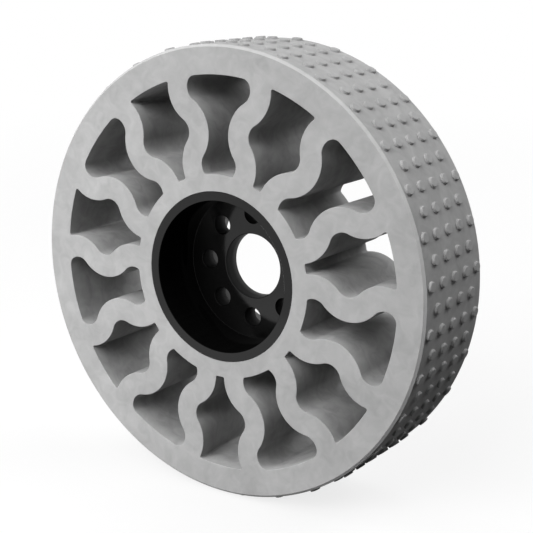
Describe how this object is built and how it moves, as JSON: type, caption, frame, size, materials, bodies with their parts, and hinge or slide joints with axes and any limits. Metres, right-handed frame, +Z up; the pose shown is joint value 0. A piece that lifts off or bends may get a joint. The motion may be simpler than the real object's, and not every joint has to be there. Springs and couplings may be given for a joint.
{
  "type": "robot wheel",
  "caption": "Compliant robot drive wheel: rigid plastic hub core with centre bore and bolt circle, bonded to a soft rubber wheel with mirrored S-shaped spokes and a nubbed tread band.",
  "frame": {"origin": "centre of the wheel: on its axle axis, half way between its front and back faces", "axes": "+Y along the axle axis towards the back face, the wheel spins about Y; the front face, with the deeper cup, looks along -Y; +Z is up, through the middle of a waisted gap between two spokes"},
  "size_m": [0.096, 0.024, 0.096],
  "materials": {
    "hub_plastic": "moulded black plastic, satin, fine moulding streaks inside the cups",
    "rubber": "soft moulded rubber, mid grey, matt with a faint cloudy mottle"
  },
  "bodies": {
    "hub": {"hub_core": "hub_plastic", "hub_sleeve": "rubber", "spoke_01": "rubber", "spoke_02": "rubber", "spoke_03": "rubber", "spoke_04": "rubber", "spoke_05": "rubber", "spoke_06": "rubber", "spoke_07": "rubber", "spoke_08": "rubber", "spoke_09": "rubber", "spoke_10": "rubber", "spoke_11": "rubber", "spoke_12": "rubber", "spoke_13": "rubber", "spoke_14": "rubber"},
    "tread": {"tread_band": "rubber"}
  },
  "joints": [
    {"name": "tread_windup", "type": "hinge", "parent": "hub", "child": "tread", "pos_m": [0, 0, 0], "axis": [0, 1, 0], "range_deg": [-5, 5], "stiffness_Nm_per_rad": 10, "deforming": ["spoke_01", "spoke_02", "spoke_03", "spoke_04", "spoke_05", "spoke_06", "spoke_07", "spoke_08", "spoke_09", "spoke_10", "spoke_11", "spoke_12", "spoke_13", "spoke_14"]}
  ]
}
